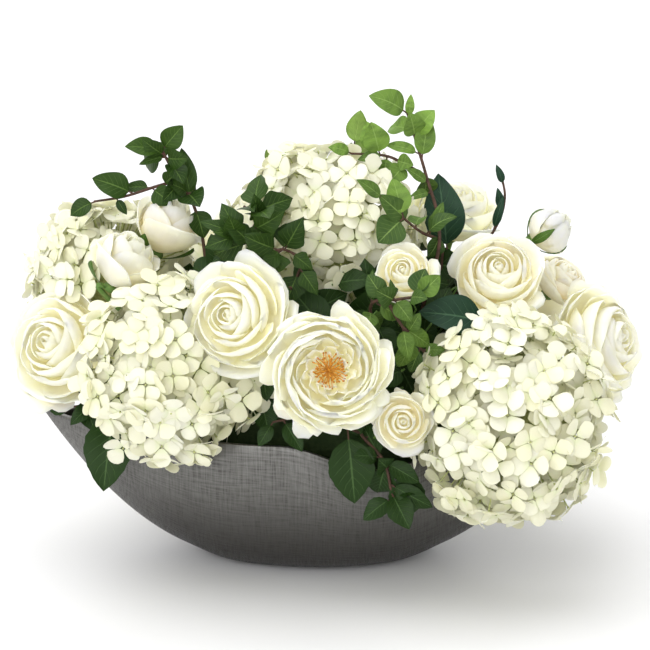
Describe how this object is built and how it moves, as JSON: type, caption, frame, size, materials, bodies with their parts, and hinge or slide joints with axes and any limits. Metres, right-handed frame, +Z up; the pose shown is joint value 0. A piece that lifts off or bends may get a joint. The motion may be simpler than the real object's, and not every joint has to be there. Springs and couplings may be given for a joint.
{
  "type": "floral table centerpiece",
  "caption": "Boat-shaped grey metal bowl filled with cream roses, white hydrangea heads and green leafy sprays, standing on a small flat foot.",
  "frame": {"origin": "centre of the flat foot under the bowl, on the table's surface", "axes": "+Z up, +X along the bowl's length towards its right end seen from the front, -Y towards the front"},
  "size_m": [0.5337, 0.3919, 0.4092],
  "materials": {
    "bowl": "cross-brushed pewter grey on cast metal",
    "foam": "dark floral foam and moss",
    "rose_petals": "matt cream petal cloth",
    "hydrangea_petals": "matt white petal cloth",
    "stamens": "amber flocked threads",
    "stems": "satin green coated wire",
    "leaves": "satin printed leaf cloth",
    "leaves_blue_green": "satin blue-green leaf cloth"
  },
  "bodies": {
    "root": {"bowl": "bowl", "floral_foam": "foam", "hydrangea_back_left": "hydrangea_petals", "hydrangea_back_left_stem": "stems", "hydrangea_back_right": "hydrangea_petals", "hydrangea_back_right_stem": "stems", "hydrangea_front_left": "hydrangea_petals", "hydrangea_front_left_stem": "stems", "hydrangea_front_right": "hydrangea_petals", "hydrangea_front_right_stem": "stems", "hydrangea_left": "hydrangea_petals", "hydrangea_left_stem": "stems", "hydrangea_top": "hydrangea_petals", "hydrangea_top_stem": "stems", "leaf_large_right": "leaves_blue_green", "rose_back_centre": "rose_petals", "rose_back_centre_stem": "stems", "rose_back_end": "rose_petals", "rose_back_end_stem": "stems", "rose_back_left": "rose_petals", "rose_back_left_stem": "stems", "rose_back_right": "rose_petals", "rose_back_right_stem": "stems", "rose_bud_left": "rose_petals", "rose_bud_left_stem": "stems", "rose_bud_right": "rose_petals", "rose_bud_right_stem": "stems", "rose_cupped_right": "rose_petals", "rose_cupped_right_stem": "stems", "rose_front_left": "rose_petals", "rose_front_left_stem": "stems", "rose_garden": "rose_petals", "rose_garden_stamens": "stamens", "rose_garden_stem": "stems", "rose_half_open_left": "rose_petals", "rose_half_open_left_stem": "stems", "rose_half_open_right": "rose_petals", "rose_half_open_right_stem": "stems", "rose_high_back": "rose_petals", "rose_high_back_stem": "stems", "rose_left": "rose_petals", "rose_left_stem": "stems", "rose_right": "rose_petals", "rose_right_stem": "stems", "rose_small_centre": "rose_petals", "rose_small_centre_stem": "stems", "rose_small_low": "rose_petals", "rose_small_low_stem": "stems", "spray_back_end": "leaves", "spray_back_right": "leaves", "spray_back_rim": "leaves", "spray_back_tall": "leaves", "spray_centre": "leaves", "spray_grey_back": "leaves_blue_green", "spray_left": "leaves", "spray_left_end": "leaves", "spray_over_rim": "leaves", "spray_right": "leaves", "spray_tall": "leaves"}
  },
  "joints": []
}
